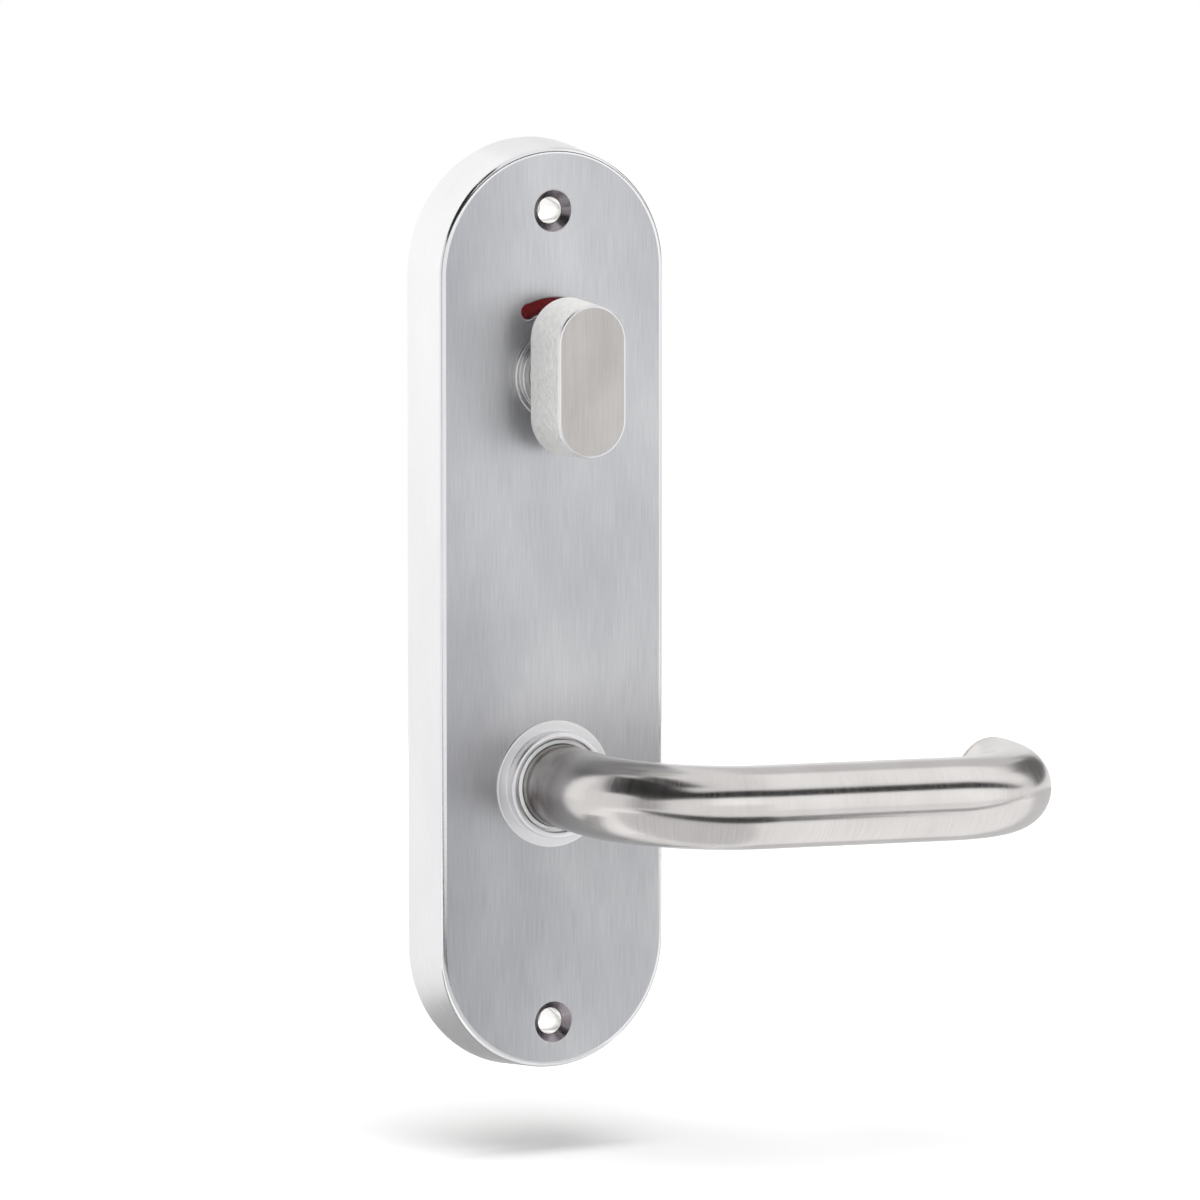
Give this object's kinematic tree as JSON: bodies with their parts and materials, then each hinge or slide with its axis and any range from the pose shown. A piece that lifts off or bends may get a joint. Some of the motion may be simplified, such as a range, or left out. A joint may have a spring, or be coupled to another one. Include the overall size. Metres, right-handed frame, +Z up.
{
  "type": "toilet indicator bolt",
  "caption": "Long round-ended door plate with a sprung tubular lever, a locking turn and a curved red and green indicator window.",
  "frame": {"origin": "middle of the plate's back, on the face that lies on the door", "axes": "+X to the right along the lever, +Y into the door, +Z up the plate"},
  "size_m": [0.1514, 0.113, 0.225],
  "materials": {
    "plate_steel": "satin, brushed along the plate",
    "lever_steel": "satin, brushed along the tube",
    "collar_steel": "polished",
    "knob_metal": "bead blasted casting, brushed front",
    "inner_steel": "zinc plated",
    "spring_steel": "bright drawn wire and strip",
    "clip_steel": "phosphated",
    "sleeve_steel": "bright turned steel",
    "screw_steel": "zinc plated",
    "nylon": "moulded nylon",
    "clear_lens": "clear acrylic",
    "red_enamel": "stove enamel",
    "green_enamel": "stove enamel",
    "brass": "turned"
  },
  "bodies": {
    "plate": {"cover_plate": "plate_steel", "back_plate": "inner_steel", "fixing_sleeves": "sleeve_steel", "cover_posts": "inner_steel", "back_screws": "screw_steel", "lever_collar": "collar_steel", "lever_liner": "nylon", "cassette_body": "inner_steel", "cassette_cover": "inner_steel", "cassette_screws": "screw_steel", "return_spring": "spring_steel", "turn_rose": "knob_metal", "turn_bush": "nylon", "window_lens": "clear_lens", "detent_spring": "spring_steel", "detent_rivets": "brass"},
    "lever": {"lever_tube": "lever_steel", "lever_end_cap": "lever_steel", "lever_hub": "inner_steel", "lever_spindle": "inner_steel", "lever_grub_screw": "clip_steel", "lever_circlip": "clip_steel", "lever_washer": "inner_steel", "spring_follower": "inner_steel"},
    "turn": {"turn_knob": "knob_metal", "turn_shank": "inner_steel", "turn_grub_screw": "clip_steel", "tail_bar": "inner_steel", "indicator_disc": "inner_steel", "indicator_red": "red_enamel", "indicator_green": "green_enamel", "detent_cam": "brass", "turn_washer": "spring_steel", "turn_circlip": "clip_steel"}
  },
  "joints": [
    {"name": "lever_turn", "type": "hinge", "parent": "plate", "child": "lever", "pos_m": [0, -0.015, -0.042], "axis": [0, 1, 0], "range_deg": [0, 45], "stiffness_Nm_per_rad": 0.8, "springref_deg": -34.38, "deforming": ["return_spring"]},
    {"name": "bolt_turn", "type": "hinge", "parent": "plate", "child": "turn", "pos_m": [0, -0.015, 0.057], "axis": [0, 1, 0], "range_deg": [-90, 0], "deforming": ["detent_spring"]}
  ]
}
